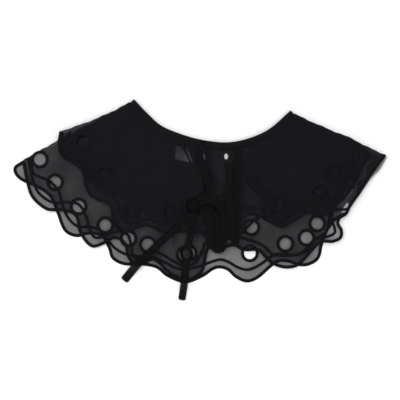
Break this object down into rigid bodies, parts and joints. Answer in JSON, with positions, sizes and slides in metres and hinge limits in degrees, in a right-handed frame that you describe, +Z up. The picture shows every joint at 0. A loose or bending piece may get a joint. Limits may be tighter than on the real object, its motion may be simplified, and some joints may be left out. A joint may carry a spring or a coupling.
{
  "type": "cape collar",
  "caption": "Sheer two-tier cape collar with scalloped, cutwork hems and a bound neck, tied with a ribbon, folded at the shoulders and laid flat.",
  "frame": {"origin": "middle of the laid-out collar, on the surface that it rests on", "axes": "+X to the right for someone who looks down on its front, +Y from the hem to the neck, +Z up"},
  "size_m": [0.5021, 0.2674, 0.0151],
  "materials": {
    "organza": "black sheer plain-woven organza, soft sheen",
    "satin_binding": "black satin binding and satin stitch",
    "grosgrain_ribbon": "black ribbed ribbon, low sheen"
  },
  "bodies": {
    "root": {"back_upper_tier": "organza", "back_under_tier": "organza", "back_under_tier_turned_hem": "organza", "front_right_under_tier": "organza", "front_left_under_tier": "organza", "front_right_upper_tier": "organza", "front_left_upper_tier": "organza", "upper_tier_left_turn": "organza", "upper_tier_right_turn": "organza", "back_neck_binding": "satin_binding", "front_left_neck_binding": "satin_binding", "front_right_neck_binding": "satin_binding", "ribbon_neck_left": "grosgrain_ribbon", "ribbon_neck_middle": "grosgrain_ribbon", "ribbon_neck_right": "grosgrain_ribbon", "ribbon_loop_left": "grosgrain_ribbon", "ribbon_loop_middle": "grosgrain_ribbon", "ribbon_loop_right": "grosgrain_ribbon", "ribbon_tail_slanted": "grosgrain_ribbon", "ribbon_tail_straight": "grosgrain_ribbon", "ribbon_knot": "grosgrain_ribbon"}
  },
  "joints": []
}
